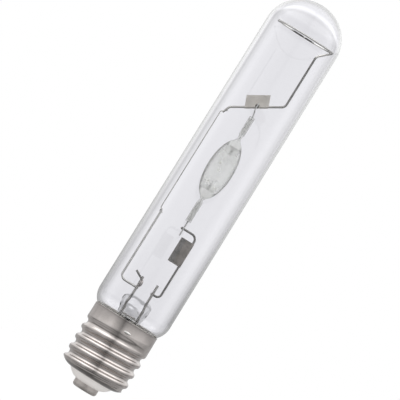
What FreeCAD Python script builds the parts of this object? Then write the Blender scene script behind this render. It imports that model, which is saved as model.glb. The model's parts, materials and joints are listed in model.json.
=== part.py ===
import FreeCAD, Part
import math
import os

# Metal halide lamp: clear tubular bulb, wire frame with an ellipsoidal arc tube, rolled screw cap.
# Millimetres. +Z runs along the lamp's axis from the centre contact to the dome. The origin is the middle
# of the contact's end face. +X is the side of the upper support leg, -Y is the front.

# Outer bulb
overall_length = 250.2
bulb_radius = 22.5
bulb_wall = 1.2
dome_crown_radius = 28.0
dome_shoulder_radius = 21.0
bulb_base_radius = 12.0
rim_gap = 0.18
neck_clearance = 9.0

# Screw cap with a rolled thread
cap_height = 45.0
shell_radius = 19.7
shell_wall = 0.45
thread_pitch = 6.35
thread_depth = 1.8
thread_arc_radius = 1.85
crest_margin = 0.055
crest_cut_share = 0.1
lowest_crest_z = 11.0
runout_turns = 0.5
skirt_height = 8.6
curl_top_z = 11.2
curl_radius = 9.0
curl_reach = 6.5
lip_z = 8.0
seam_angle = 77.0
cement_thickness = 2.65
cement_depth = 6.8
cement_setback = 0.4

# Insulator and centre contact
insulator_setback = 3.4
insulator_top_z = 13.0
insulator_radius = 11.0
contact_radius = 7.35
contact_height = 3.9
contact_wall = 0.45
contact_edge_radius = 1.6
contact_hole_radius = 0.9
solder_recess = 0.15
solder_dish = 0.2
solder_height = 1.2

# Glass stem
stem_rise = 13.9
press_height = 12.9
press_root = 1.0
stem_half_width = 8.65
stem_half_thickness = 4.4
stem_tube_radius = 7.1
stem_wall = 1.5
flare_height = 14.0
flare_rim = 1.5
flare_sweep = 3.5
exhaust_radius = 2.2
exhaust_wall = 0.8
exhaust_tip_gap = 2.5
exhaust_tip_length = 3.0
exhaust_tip_wall = 1.6

# Wires, given as radii
lead_radius = 0.7
frame_radius = 0.62
return_radius = 0.3
ring_wire_radius = 0.48
cap_lead_radius = 0.35
arc_lead_radius = 0.4
weld_sink = 0.1

# Inside radii of bends in the wires
lead_bend = 2.0
cap_lead_bend = 1.0
frame_bend = 3.2
return_bend = 1.6
arc_lead_bend = 1.5
longest_bend_share = 0.45

# Leads inside the cap
lead_clearance = 1.5
contact_lead_bend = 7.5
contact_lead_end = 3.0
contact_lead_tip = 0.3

# Lead-in wires
left_lead_x = -4.95
right_lead_x = 4.55
lead_foot_x = 4.6
lead_kink = 0.35
kink_shares = (0.3, 0.58, 0.85)
lead_exit = 1.2
lead_rise = 11.0
left_joint_rise = 4.1
right_joint_rise = 5.3
joint_overlap = 1.0
stub_start_x = -4.6
stub_start_drop = 1.8
stub_end_x = -9.9
stub_end_rise = 1.1
stub_radius = 0.6
slug_x = -4.2
slug_drop = 3.9
slug_radius = 1.1
slug_half_length = 2.2

# Frame
left_support_x = -15.7
left_support_top_z = 106.6
return_wire_x = -17.0
return_bend_drop = 2.2
return_foot_rise = 1.2
return_foot_drop = 1.4
right_support_x = 8.85
arm_z = 103.9
arm_end_x = -1.1
cross_right = (12.45, 191.2)
cross_left = (-13.9, 175.1)
cross_tail = (-15.7, 170.6)
leg_top_drop = 6.2
ring_centre_x = 1.8
ring_drop = 19.4
ring_clearance = 3.7
ring_tilt = 9.0

# Sheet-metal plates clipped on the frame
sheet = 0.25
shield_length = 13.4
shield_width = 6.6
shield_shear = 1.1
shield_end_gap = 8.3
getter_plate_width = 7.2
getter_plate_low_z = 84.7
getter_plate_high_z = 99.6
getter_strip_width = 2.5
getter_strip_thickness = 0.5
getter_strip_margin = 0.4

# Arc tube
arc_centre_z = 142.6
arc_radius = 7.75
arc_half_length = 18.6
chamber_radius = 6.6
chamber_half_length = 15.2
leg_half_width = 1.65
leg_half_thickness = 1.15
leg_root_radius = 2.1
leg_root_inset = 0.7
leg_neck_radius = 1.0
leg_neck_gap = 1.0
leg_shoulder = 0.8
upper_leg_end_z = 176.5
lower_leg_end_z = 108.5
foil_width = 2.5
foil_thickness = 0.08
upper_foil_z = (165.4, 175.7)
lower_foil_z = (109.3, 120.9)
foil_margin = 0.4
foil_lap = 1.2
electrode_radius = 0.32
electrode_reach = 6.0
coil_wire_radius = 0.27
coil_pitch = 0.56
coil_turns = 5
coil_setback = 1.0

# Lead wires of the arc tube
lead_bend_gap = 0.5
upper_lead_x = -1.1
upper_lead_reach = 2.4
upper_lead_run = 3.4
lower_lead_rise = 1.2
lower_lead_reach = 4.3

# Condensed beads: direction in degrees, height above the arc tube's centre, radius
beads = ((250, 2.5, 0.8), (262, -1.5, 0.55), (238, -9.5, 0.7), (310, -11.5, 0.8))
bead_gap = 0.03

# Side solder spot on the cap
spot_angle = 11.5
spot_drop = 5.8
spot_half_width = 2.3
spot_half_height = 0.9
spot_proud = 0.5

# Worked out from the values above
shell_inner_radius = shell_radius - shell_wall
thread_root_radius = shell_radius - thread_depth
thread_start_z = lowest_crest_z - thread_pitch
full_turns = (cap_height - skirt_height - thread_start_z) / thread_pitch - runout_turns
lip_radius = shell_radius - curl_reach
insulator_seat_radius = shell_radius - insulator_setback
spot_z = cap_height - spot_drop
neck_radius = shell_inner_radius - cement_thickness
neck_end_z = insulator_top_z + neck_clearance
bulb_at_rim = shell_inner_radius - rim_gap - (bulb_radius - bulb_base_radius)
bulb_base_z = cap_height + math.sqrt(bulb_base_radius ** 2 - bulb_at_rim ** 2)
stem_top_z = cap_height + stem_rise
press_base_z = stem_top_z - press_height
press_foot_z = press_base_z - press_root
flare_start_z = neck_end_z + flare_height
exhaust_tip_z = neck_end_z + exhaust_tip_gap
stem_bore_radius = stem_tube_radius - stem_wall
lead_top_z = stem_top_z + lead_rise
left_joint_z = stem_top_z + left_joint_rise
right_joint_z = stem_top_z + right_joint_rise
slug_z = lead_top_z - slug_drop
ring_z = overall_length - ring_drop
ring_radius = bulb_radius - bulb_wall - ring_clearance
leg_top_z = ring_z - leg_top_drop
cross_slope = (cross_right[1] - cross_left[1]) / (cross_right[0] - cross_left[0])
joint_offset = lead_radius + frame_radius - weld_sink
upper_frame_y = arc_lead_radius + sheet + frame_radius - 2 * weld_sink
lower_frame_y = joint_offset
shield_front_y = upper_frame_y - frame_radius - sheet

AXIS = FreeCAD.Vector(0, 0, 1)
ORIGIN = FreeCAD.Vector(0, 0, 0)


def at(x, y, z):
    return FreeCAD.Vector(x, y, z)


def save(name, shape):
    shape.exportStep("parts/" + name + ".step")


def line(a, b):
    return Part.LineSegment(a, b).toShape()


def arc(a, middle, b):
    return Part.Arc(a, middle, b).toShape()


def curve(*poles):
    bezier = Part.BezierCurve()
    bezier.setPoles(list(poles))
    return bezier.toShape()


def outline(*corners):
    points = [at(r, 0, z) for r, z in corners]
    return [line(a, b) for a, b in zip(points, points[1:])]


def revolve(edges):
    """Solid turned about the lamp's axis from a closed outline in the plane y = 0."""
    return Part.Face(Part.Wire(Part.__sortEdges__(edges))).revolve(ORIGIN, AXIS, 360)


def cylinder(radius, low_z, high_z):
    return Part.makeCylinder(radius, high_z - low_z, at(0, 0, low_z))


def bulging_arc(a, b, radius):
    """Middle point and centre of the arc from a to b that bulges away from the axis and downwards."""
    chord = b - a
    middle = (a + b) * 0.5
    inward = at(-chord.z, 0, chord.x).normalize()
    if inward.z < 0:
        inward = inward * -1
    depth = math.sqrt(radius ** 2 - (chord.Length / 2) ** 2)
    centre = middle + inward * depth
    return centre - inward * radius, centre


def rounded_path(points, bend):
    """Straight runs joined by tangent arcs of one bend radius, smaller where a run is too short."""
    corners = [FreeCAD.Vector(p) for p in points]
    edges = []
    start = corners[0]
    for before, corner, after in zip(corners, corners[1:], corners[2:]):
        back = (before - corner).normalize()
        onward = (after - corner).normalize()
        half = back.getAngle(onward) / 2
        shorter_run = min((before - corner).Length, (after - corner).Length)
        reach = min(bend / math.tan(half), longest_bend_share * shorter_run)
        radius = reach * math.tan(half)
        towards = (back + onward).normalize()
        first = corner + back * reach
        last = corner + onward * reach
        middle = corner + towards * (radius / math.sin(half) - radius)
        edges.append(line(start, first))
        edges.append(arc(first, middle, last))
        start = last
    edges.append(line(start, corners[-1]))
    return Part.Wire(edges)


def bent_wire(points, radius, bend=lead_bend):
    path = rounded_path(points, bend)
    direction = FreeCAD.Vector(points[1]) - FreeCAD.Vector(points[0])
    section = Part.Wire(Part.makeCircle(radius, FreeCAD.Vector(points[0]), direction))
    return path.makePipeShell([section], True, False)


def without(shape, *others):
    """The shape with the pieces that nest in it taken out, so that faces meet and nothing overlaps."""
    for other in others:
        shape = shape.cut(other)
    return shape


# Outer bulb

def dome_edges(offset):
    """Crown arc and shoulder arc of the dome, tangent to each other and to the tube."""
    side = bulb_radius - dome_shoulder_radius
    spread = dome_crown_radius - dome_shoulder_radius
    lean = math.asin(side / spread)
    crown = at(0, 0, overall_length - dome_crown_radius)
    shoulder = crown + at(side, 0, spread * math.cos(lean))

    def point(centre, radius, angle):
        return centre + at(math.sin(angle), 0, math.cos(angle)) * (radius - offset)

    apex = point(crown, dome_crown_radius, 0)
    joint = point(crown, dome_crown_radius, lean)
    end = point(shoulder, dome_shoulder_radius, math.pi / 2)
    edges = [arc(apex, point(crown, dome_crown_radius, lean / 2), joint)]
    edges.append(arc(joint, point(shoulder, dome_shoulder_radius, (lean + math.pi / 2) / 2), end))
    return edges, apex, end


def base_edge(offset):
    """The curve that draws the tube in to the neck."""
    centre = at(bulb_radius - bulb_base_radius, 0, bulb_base_z)
    turn = math.acos((neck_radius - centre.x) / bulb_base_radius)

    def point(angle):
        return centre + at(math.cos(angle), 0, -math.sin(angle)) * (bulb_base_radius - offset)

    return arc(point(0), point(turn / 2), point(turn)), point(0), point(turn)


def bulb_solid(offset):
    """Solid inside the bulb's outer surface, or inside a surface that lies offset within it."""
    dome, apex, dome_end = dome_edges(offset)
    base, tube_end, base_end = base_edge(offset)
    neck_end = at(base_end.x, 0, neck_end_z)
    foot = at(0, 0, neck_end_z)
    sides = [line(dome_end, tube_end), base, line(base_end, neck_end)]
    return revolve(dome + sides + [line(neck_end, foot), line(foot, apex)])


def outer_bulb():
    return bulb_solid(0).cut(bulb_solid(bulb_wall))


# Screw cap

def groove_section(inset):
    """Section of one thread groove: the root arc, part of each crest arc, and a mouth beyond the shell.

    Crest and root are arcs of one radius that meet tangentially. inset moves the section inwards by the
    wall's thickness, which makes the crest arc tighter and the root arc wider.
    """
    crest = shell_radius + crest_margin - thread_arc_radius
    root = thread_root_radius + thread_arc_radius
    crest_arc = thread_arc_radius - inset
    root_arc = thread_arc_radius + inset
    half_pitch = thread_pitch / 2
    meet = math.atan2(half_pitch, root - crest)
    lip = meet * crest_cut_share
    mouth = shell_radius + thread_depth

    def crest_point(angle, side):
        return at(crest + crest_arc * math.cos(angle), 0, side * (half_pitch - crest_arc * math.sin(angle)))

    edges = []
    for side in (-1, 1):
        outer = crest_point(lip, side)
        edges.append(arc(outer, crest_point((lip + meet) / 2, side), crest_point(meet, side)))
        edges.append(line(outer, at(mouth, 0, outer.z)))
    edges.append(arc(crest_point(meet, -1), at(root - root_arc, 0, 0), crest_point(meet, 1)))
    edges.append(line(at(mouth, 0, crest_point(lip, -1).z), at(mouth, 0, crest_point(lip, 1).z)))
    return Part.Wire(Part.__sortEdges__(edges))


def groove(inset):
    """The groove's section swept round the axis at the thread's pitch, rising out of the metal at the end."""
    winding = Part.makeHelix(thread_pitch, full_turns * thread_pitch, shell_radius)
    rise = runout_turns * thread_pitch
    cone = math.degrees(math.atan2(thread_depth + 2 * shell_wall, rise))
    runout = Part.makeHelix(thread_pitch, rise, shell_radius, cone)
    runout.rotate(ORIGIN, AXIS, 360 * full_turns)
    runout.translate(at(0, 0, full_turns * thread_pitch))
    sweep = Part.BRepOffsetAPI.MakePipeShell(Part.Wire(winding.Edges + runout.Edges))
    sweep.setBiNormalMode(AXIS)
    sweep.add(groove_section(inset))
    sweep.build()
    sweep.makeSolid()
    solid = sweep.shape()
    solid.translate(at(0, 0, thread_start_z))
    return solid


def curl(inset):
    """The shell's lower edge, drawn in from the thread to the lip: its arc and two ends."""
    top = at(shell_radius, 0, curl_top_z)
    lip = at(lip_radius, 0, lip_z)
    middle, centre = bulging_arc(top, lip, curl_radius)

    def moved(point):
        return point + (centre - point).normalize() * inset

    return arc(moved(top), moved(middle), moved(lip)), moved(top), moved(lip)


def shell_core(inset, top_z):
    """Threaded solid inside the shell's outer or inner surface."""
    bend, bend_top, lip = curl(inset)
    radius = shell_radius - inset
    side = [at(radius, 0, bend_top.z), at(radius, 0, top_z), at(0, 0, top_z), at(0, 0, lip.z), lip]
    edges = [bend] + [line(a, b) for a, b in zip(side, side[1:])]
    if inset > 0:
        edges.append(line(bend_top, side[0]))
    blank = revolve(edges)
    blank.rotate(ORIGIN, AXIS, seam_angle)
    return blank.cut(groove(inset))


def cap_shell(insulator, solder_wire):
    inner = shell_core(shell_wall, cap_height + shell_wall)
    hub = cylinder(contact_radius, 0, insulator_top_z)
    return without(shell_core(0, cap_height), inner, insulator, hub, solder_wire)


def cap_cement(solder_wire):
    top = cap_height - cement_setback
    ring = cylinder(shell_inner_radius, top - cement_depth, top)
    return without(ring, bulb_solid(0), solder_wire)


def contact_edge(inset):
    """Rounded edge between the contact's wall and its end face."""
    radius = contact_edge_radius - inset
    centre = at(contact_radius - contact_edge_radius, 0, contact_edge_radius)
    wall = centre + at(radius, 0, 0)
    face = centre - at(0, 0, radius)
    middle = centre + at(1, 0, -1).normalize() * radius
    return arc(wall, middle, face), wall, face


def centre_contact():
    outer, outer_wall, outer_face = contact_edge(0)
    inner, inner_wall, inner_face = contact_edge(contact_wall)
    outer_rim = at(outer_wall.x, 0, contact_height)
    inner_rim = at(inner_wall.x, 0, contact_height)
    hole_out = at(contact_hole_radius, 0, outer_face.z)
    hole_in = at(contact_hole_radius, 0, inner_face.z)
    wall = [line(outer_wall, outer_rim), line(outer_rim, inner_rim), line(inner_rim, inner_wall)]
    floor = [line(outer_face, hole_out), line(hole_out, hole_in), line(hole_in, inner_face)]
    return revolve([outer, inner] + wall + floor)


def cap_insulator():
    seat, seat_top, lip_in = curl(shell_wall)
    inner, wall, face = contact_edge(contact_wall)
    lip_out = at(lip_radius, 0, lip_z)
    rim = at(contact_radius, 0, contact_height)
    belly = bulging_arc(lip_out, rim, insulator_radius)[0]
    top = insulator_top_z
    bore = contact_hole_radius
    ledge = outline((rim.x, rim.z), (wall.x, rim.z), (wall.x, wall.z))
    hollow = outline((face.x, face.z), (bore, face.z), (bore, top), (lip_in.x, top), (lip_in.x, lip_in.z))
    body = revolve([arc(lip_out, belly, rim), inner, line(lip_in, lip_out)] + ledge + hollow)
    collar = revolve([seat] + outline((lip_in.x, lip_in.z), (lip_in.x, top), (seat_top.x, top),
                                      (seat_top.x, seat_top.z)))
    return body.fuse(collar.common(cylinder(insulator_seat_radius, 0, top))).removeSplitter()


def contact_solder(wire):
    low = at(0, 0, solder_recess)
    rim = at(contact_hole_radius, 0, solder_recess + solder_dish)
    middle = at(contact_hole_radius / 2, 0, solder_recess + solder_dish / 4)
    sides = outline((rim.x, rim.z), (rim.x, solder_height), (0, solder_height), (0, low.z))
    return without(revolve([arc(low, middle, rim)] + sides), wire)


def spot_direction():
    angle = math.radians(spot_angle)
    return at(math.sin(angle), -math.cos(angle), 0)


def side_solder(solder_wire):
    """Flattened bead of solder on the skirt, over the end of the side lead."""
    bead = Part.makeSphere(1)
    stretch = FreeCAD.Matrix()
    stretch.scale(spot_half_width, spot_proud * 2, spot_half_height)
    bead = bead.transformGeometry(stretch)
    bead.rotate(ORIGIN, AXIS, spot_angle)
    bead.translate(spot_direction() * (shell_radius - spot_proud) + at(0, 0, spot_z))
    return without(bead, cylinder(shell_radius, 0, cap_height), solder_wire)


def shell_lead_wire():
    """From the left lead-in wire down the stem, out under the flare and up past the neck to the skirt."""
    out = spot_direction()
    low_z = neck_end_z - flare_rim - cap_lead_radius - lead_clearance
    rise = (thread_root_radius - shell_wall + neck_radius) / 2
    points = [at(-lead_foot_x, 0, press_base_z), at(-lead_foot_x, 0, low_z), out * rise + at(0, 0, low_z),
              out * rise + at(0, 0, spot_z), out * shell_radius + at(0, 0, spot_z)]
    return bent_wire(points, cap_lead_radius, cap_lead_bend)


def contact_lead_wire():
    """From the right lead-in wire down the stem to the axis, and through the insulator to the contact."""
    points = [at(lead_foot_x, 0, press_base_z), at(lead_foot_x, 0, insulator_top_z + contact_lead_bend),
              at(0, 0, insulator_top_z + contact_lead_end), at(0, 0, solder_recess + contact_lead_tip)]
    return bent_wire(points, cap_lead_radius)


# Glass stem

def oval(half_width, half_thickness, z):
    if half_width < half_thickness:
        edge = Part.Ellipse(at(0, half_thickness, z), at(half_width, 0, z), at(0, 0, z)).toShape()
    elif half_width == half_thickness:
        edge = Part.makeCircle(half_width, at(0, 0, z))
    else:
        edge = Part.Ellipse(at(half_width, 0, z), at(0, half_thickness, z), at(0, 0, z)).toShape()
    return Part.Wire([edge])


def stem_press():
    """The stem's end, pinched flat on the lead wires: ovals from the round tube up to the rounded top."""
    low = press_foot_z
    height = stem_top_z - low
    pinch = ((0, 0), (0.35, 0.5), (0.58, 0.85), (0.72, 1))
    crown = ((0.86, 0.94), (0.95, 0.79), (1, 0.55))
    sections = []
    for share, pinched in pinch:
        width = stem_tube_radius + (stem_half_width - stem_tube_radius) * pinched
        thickness = stem_tube_radius + (stem_half_thickness - stem_tube_radius) * pinched
        sections.append(oval(width, thickness, low + height * share))
    for share, size in crown:
        sections.append(oval(stem_half_width * size, stem_half_thickness * size, low + height * share))
    return Part.makeLoft(sections, True)


def stem_flare():
    """Tube below the press, widened at its foot to the bulb's neck."""
    tube = stem_tube_radius
    bore = stem_bore_radius
    inside_neck = neck_radius - bulb_wall
    low = neck_end_z - flare_rim
    edges = outline((bore, press_foot_z), (tube, press_foot_z), (tube, flare_start_z))
    edges.append(curve(at(tube, 0, flare_start_z), at(tube, 0, neck_end_z + flare_sweep),
                       at(inside_neck, 0, neck_end_z)))
    edges += outline((inside_neck, neck_end_z), (neck_radius, neck_end_z), (neck_radius, low))
    edges.append(curve(at(neck_radius, 0, low), at(bore, 0, low + flare_sweep),
                       at(bore, 0, flare_start_z - flare_rim)))
    edges += outline((bore, flare_start_z - flare_rim), (bore, press_foot_z))
    return revolve(edges)


def glass_stem(leads):
    bore = cylinder(stem_bore_radius, press_foot_z, press_base_z)
    press = without(stem_press(), bore)
    return without(press.fuse(stem_flare()), *leads)


def exhaust_tube():
    """Tube under the press, melted shut at its lower end."""
    bore = exhaust_radius - exhaust_wall
    shoulder = exhaust_tip_z + exhaust_tip_length
    inner_tip_z = exhaust_tip_z + exhaust_tip_wall
    inner_shoulder = shoulder + exhaust_wall
    edges = outline((bore, press_base_z), (exhaust_radius, press_base_z), (exhaust_radius, shoulder))
    edges.append(curve(at(exhaust_radius, 0, shoulder), at(exhaust_radius, 0, exhaust_tip_z),
                       at(0, 0, exhaust_tip_z)))
    edges += outline((0, exhaust_tip_z), (0, inner_tip_z))
    edges.append(curve(at(0, 0, inner_tip_z), at(bore, 0, inner_tip_z), at(bore, 0, inner_shoulder)))
    edges += outline((bore, inner_shoulder), (bore, press_base_z))
    return revolve(edges)


# Wires inside the bulb

def lead_in_wire(side, x):
    """Straight above the stem, slightly kinked inside the glass."""
    foot = side * lead_foot_x
    heights = [press_base_z + share * press_height for share in kink_shares]
    bends = [foot, x + side * lead_kink, x - side * lead_kink / 2]
    points = [at(foot, 0, press_base_z)]
    points += [at(bend, 0, height) for bend, height in zip(bends, heights)]
    points += [at(x, 0, stem_top_z + lead_exit), at(x, 0, lead_top_z)]
    return bent_wire(points, lead_radius)


def lead_stub():
    y = weld_sink - lead_radius - stub_radius
    start = at(stub_start_x, y, lead_top_z - stub_start_drop)
    return bent_wire([start, at(stub_end_x, y, lead_top_z + stub_end_rise)], stub_radius)


def weld_slug(lead):
    stretch = FreeCAD.Matrix()
    stretch.scale(slug_radius, slug_radius, slug_half_length)
    slug = Part.makeSphere(1).transformGeometry(stretch)
    slug.translate(at(slug_x, 0, slug_z))
    return without(slug, lead)


def left_support_wire():
    y = joint_offset
    points = [at(left_lead_x + joint_overlap, y, left_joint_z), at(left_support_x, y, left_joint_z),
              at(left_support_x, y, left_support_top_z)]
    return bent_wire(points, frame_radius, frame_bend)


def lower_support_wire():
    """From the right lead-in wire up past the getter plate and over to the arc tube's lower lead."""
    y = lower_frame_y
    points = [at(right_lead_x - joint_overlap, y, right_joint_z), at(right_support_x, y, right_joint_z),
              at(right_support_x, y, arm_z), at(arm_end_x, y, arm_z)]
    return bent_wire(points, frame_radius, frame_bend)


def ring_point():
    return at(ring_centre_x + ring_radius, 0, ring_z)


def upper_support_wire():
    """From the dome ring down the right side, then slanting over to the left behind the upper lead."""
    y = upper_frame_y
    start = ring_point()
    leg_top = at(cross_right[0], y, leg_top_z)
    start = start + (leg_top - start).normalize() * (ring_wire_radius - weld_sink)
    points = [start, leg_top, at(cross_right[0], y, cross_right[1]), at(cross_left[0], y, cross_left[1]),
              at(cross_tail[0], y, cross_tail[1])]
    return bent_wire(points, frame_radius, frame_bend)


def dome_ring():
    ring = Part.makeTorus(ring_radius, ring_wire_radius, at(ring_centre_x, 0, ring_z))
    ring.rotate(at(ring_centre_x, 0, ring_z), at(1, 0, 0), ring_tilt)
    return ring


def return_wire():
    """Thin wire from the upper wire's tail down the left side to the left support wire."""
    behind = frame_radius + return_radius - weld_sink
    top_y = upper_frame_y + behind
    low_y = joint_offset + behind
    tail_x = (cross_left[0] + cross_tail[0]) / 2
    tail_z = (cross_left[1] + cross_tail[1]) / 2
    points = [at(tail_x + joint_overlap, top_y, tail_z), at(return_wire_x, top_y, tail_z - return_bend_drop),
              at(return_wire_x, low_y, left_support_top_z + return_foot_rise),
              at(left_support_x + joint_overlap, low_y, left_support_top_z - return_foot_drop)]
    return bent_wire(points, return_radius, return_bend)


# Sheet-metal plates

def clipped_sheet(length, width):
    """Sheet along +X from the origin, standing up +Z in front of a wire on the X axis.

    Its lower edge is rolled round the wire from the front, under it, to the back.
    """
    inner = frame_radius
    outer = frame_radius + sheet
    ring = Part.makeCylinder(outer, length, ORIGIN, at(1, 0, 0))
    ring = ring.cut(Part.makeCylinder(inner, length, ORIGIN, at(1, 0, 0)))
    lower_half = Part.makeBox(length, 4 * outer, 2 * outer, at(0, -2 * outer, -2 * outer))
    wall = Part.makeBox(length, sheet, width, at(0, -outer, 0))
    return ring.common(lower_half).fuse(wall).removeSplitter()


def shield_plate():
    """Small plate above the arc tube, with its ends cut at a slant."""
    long_sheet = clipped_sheet(shield_length + 3 * shield_shear, shield_width)
    lean = shield_shear
    reach = 2 * frame_radius
    foot = lean - lean * reach / shield_width
    corners = [at(foot, reach, -reach), at(foot + shield_length, reach, -reach),
               at(lean * 2 + shield_length, reach, shield_width), at(lean * 2, reach, shield_width)]
    blank = Part.Face(Part.makePolygon(corners + corners[:1])).extrude(at(0, -2 * reach, 0))
    plate = long_sheet.common(blank)
    slope = math.degrees(math.atan(cross_slope))
    plate.translate(at(shield_end_gap - shield_shear, 0, 0))
    plate.rotate(ORIGIN, at(0, 1, 0), -slope)
    plate.translate(at(cross_left[0], upper_frame_y, cross_left[1]))
    return plate


def getter_plate():
    """Plate on the right support wire, its right edge rolled round the wire."""
    height = getter_plate_high_z - getter_plate_low_z
    plate = clipped_sheet(height, getter_plate_width)
    plate.rotate(ORIGIN, at(0, 1, 0), -90)
    plate.translate(at(right_support_x, lower_frame_y, getter_plate_low_z))
    return plate


def getter_strip():
    left = right_support_x - getter_plate_width
    front = lower_frame_y - frame_radius - sheet - getter_strip_thickness
    height = getter_plate_high_z - getter_plate_low_z - 2 * getter_strip_margin
    corner = at(left + getter_strip_margin, front, getter_plate_low_z + getter_strip_margin)
    return Part.makeBox(getter_strip_width, getter_strip_thickness, height, corner)


# Arc tube

def ellipsoid(radius, half_length):
    low = at(0, 0, arc_centre_z - half_length)
    high = at(0, 0, arc_centre_z + half_length)
    ellipse = Part.Ellipse(high, at(radius, 0, arc_centre_z), at(0, 0, arc_centre_z))
    half = Part.Wire([Part.Edge(ellipse, -math.pi, 0)])
    if half.BoundBox.XMax < radius / 2:
        half = Part.Wire([Part.Edge(ellipse, 0, math.pi)])
    return revolve(half.Edges + [line(low, high)])


def leg(side, foil_span, end_z):
    """Round neck out of the body, then the flattened length that seals in the foil."""
    root_z = arc_centre_z + side * (arc_half_length - leg_root_inset)
    neck_z = arc_centre_z + side * (arc_half_length + leg_neck_gap)
    flat_z = foil_span[0] - foil_margin if side > 0 else foil_span[1] + foil_margin
    shoulder_z = flat_z - side * leg_shoulder
    shape = Part.makeLoft([oval(leg_root_radius, leg_root_radius, root_z),
                           oval(leg_neck_radius, leg_neck_radius, neck_z)], True)
    round_neck = Part.Face(oval(leg_neck_radius, leg_neck_radius, neck_z))
    shoulder = Part.makeLoft([oval(leg_neck_radius, leg_neck_radius, shoulder_z),
                              oval(leg_half_width, leg_half_thickness, flat_z)], True)
    flat = Part.Face(oval(leg_half_width, leg_half_thickness, flat_z))
    shape = shape.fuse(round_neck.extrude(at(0, 0, shoulder_z - neck_z)))
    return shape.fuse(shoulder).fuse(flat.extrude(at(0, 0, end_z - flat_z)))


def foil(span):
    corner = at(-foil_width / 2, -foil_thickness / 2, span[0])
    return Part.makeBox(foil_width, foil_thickness, span[1] - span[0], corner)


def electrode(side, span):
    """Tungsten rod from the foil into the chamber, with a wound coil near its tip."""
    base_z = span[0] + foil_lap if side > 0 else span[1] - foil_lap
    tip_z = arc_centre_z + side * (chamber_half_length - electrode_reach)
    low, high = sorted((base_z, tip_z))
    rod = cylinder(electrode_radius, low, high)
    length = coil_turns * coil_pitch
    first_z = min(tip_z + side * coil_setback, tip_z + side * (coil_setback + length))
    reach = electrode_radius + coil_wire_radius - weld_sink
    winding = Part.Wire(Part.makeHelix(coil_pitch, length, reach).Edges)
    section = Part.Wire(Part.makeCircle(coil_wire_radius, at(reach, 0, 0), at(0, 1, 0)))
    coil = winding.makePipeShell([section], True, True)
    coil.translate(at(0, 0, first_z))
    return without(rod.fuse(coil), foil(span))


def upper_arc_lead():
    """From the foil up to the shield plate, where it is welded on the front."""
    y = shield_front_y - arc_lead_radius + weld_sink
    top_z = cross_left[1] + (upper_lead_x - cross_left[0]) * cross_slope + upper_lead_reach
    points = [at(0, 0, upper_foil_z[1] - foil_lap), at(0, 0, upper_leg_end_z + lead_bend_gap),
              at(upper_lead_x, y, top_z - upper_lead_run), at(upper_lead_x, y, top_z)]
    return bent_wire(points, arc_lead_radius, arc_lead_bend)


def lower_arc_lead():
    """From the foil down past the end of the lower support wire."""
    y = lower_frame_y - frame_radius - arc_lead_radius + weld_sink
    points = [at(0, 0, lower_foil_z[0] + foil_lap), at(0, 0, lower_leg_end_z - lead_bend_gap),
              at(0, y, arm_z + lower_lead_rise), at(0, y, arm_z - lower_lead_reach)]
    return bent_wire(points, arc_lead_radius, arc_lead_bend)


def arc_tube(inner_pieces):
    body = ellipsoid(arc_radius, arc_half_length)
    body = body.fuse(leg(1, upper_foil_z, upper_leg_end_z)).fuse(leg(-1, lower_foil_z, lower_leg_end_z))
    return without(body, ellipsoid(chamber_radius, chamber_half_length), *inner_pieces)


def halide_beads():
    """Condensed beads of the fill, resting on the chamber's wall."""
    spheres = []
    for turn, height, radius in beads:
        reach = chamber_radius * math.sqrt(1 - (height / chamber_half_length) ** 2)
        out = at(math.cos(math.radians(turn)), math.sin(math.radians(turn)), 0)
        wall = out * reach + at(0, 0, arc_centre_z + height)
        normal = out * (reach / chamber_radius ** 2) + at(0, 0, height / chamber_half_length ** 2)
        spheres.append(Part.makeSphere(radius, wall - normal.normalize() * (radius + bead_gap)))
    return Part.makeCompound(spheres)


def main():
    os.makedirs("parts", exist_ok=True)

    shell_wire = shell_lead_wire()
    contact_wire = contact_lead_wire()
    left_lead = lead_in_wire(-1, left_lead_x)
    right_lead = lead_in_wire(1, right_lead_x)
    save("outer_bulb", outer_bulb())
    insulator = cap_insulator()
    save("cap_shell", cap_shell(insulator, shell_wire))
    save("cap_cement", cap_cement(shell_wire))
    save("cap_insulator", insulator)
    save("centre_contact", centre_contact())
    save("contact_solder", contact_solder(contact_wire))
    save("side_solder", side_solder(shell_wire))
    save("shell_lead_wire", shell_wire)
    save("contact_lead_wire", contact_wire)

    save("glass_stem", glass_stem([left_lead, right_lead]))
    save("exhaust_tube", exhaust_tube())
    left_support = left_support_wire()
    lower_support = lower_support_wire()
    stub = lead_stub()
    save("lead_in_wire_left", without(left_lead, left_support, stub))
    save("lead_in_wire_right", without(right_lead, lower_support))
    save("lead_stub", stub)
    save("weld_slug", without(weld_slug(left_lead), stub, left_support))

    ring = dome_ring()
    thin = return_wire()
    upper_support = upper_support_wire()
    save("dome_ring", ring)
    save("upper_support_wire", without(upper_support, ring))
    save("return_wire", without(thin, upper_support, left_support))
    save("left_support_wire", left_support)

    lower_lead = lower_arc_lead()
    upper_lead = upper_arc_lead()
    save("lower_support_wire", without(lower_support, lower_lead))
    plate = shield_plate()
    save("shield_plate", plate)
    save("getter_plate", getter_plate())
    save("getter_strip", getter_strip())

    foils = [foil(upper_foil_z), foil(lower_foil_z)]
    electrodes = [electrode(1, upper_foil_z), electrode(-1, lower_foil_z)]
    save("arc_tube", arc_tube(foils + electrodes + [upper_lead, lower_lead]))
    save("upper_foil", foils[0])
    save("lower_foil", foils[1])
    save("upper_electrode", electrodes[0])
    save("lower_electrode", electrodes[1])
    save("upper_arc_lead", without(upper_lead, foils[0], plate))
    save("lower_arc_lead", without(lower_lead, foils[1]))
    save("halide_beads", halide_beads())


main()
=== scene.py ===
import json
import math
import bmesh
import bpy
import numpy as np
from mathutils import Matrix, Vector


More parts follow.
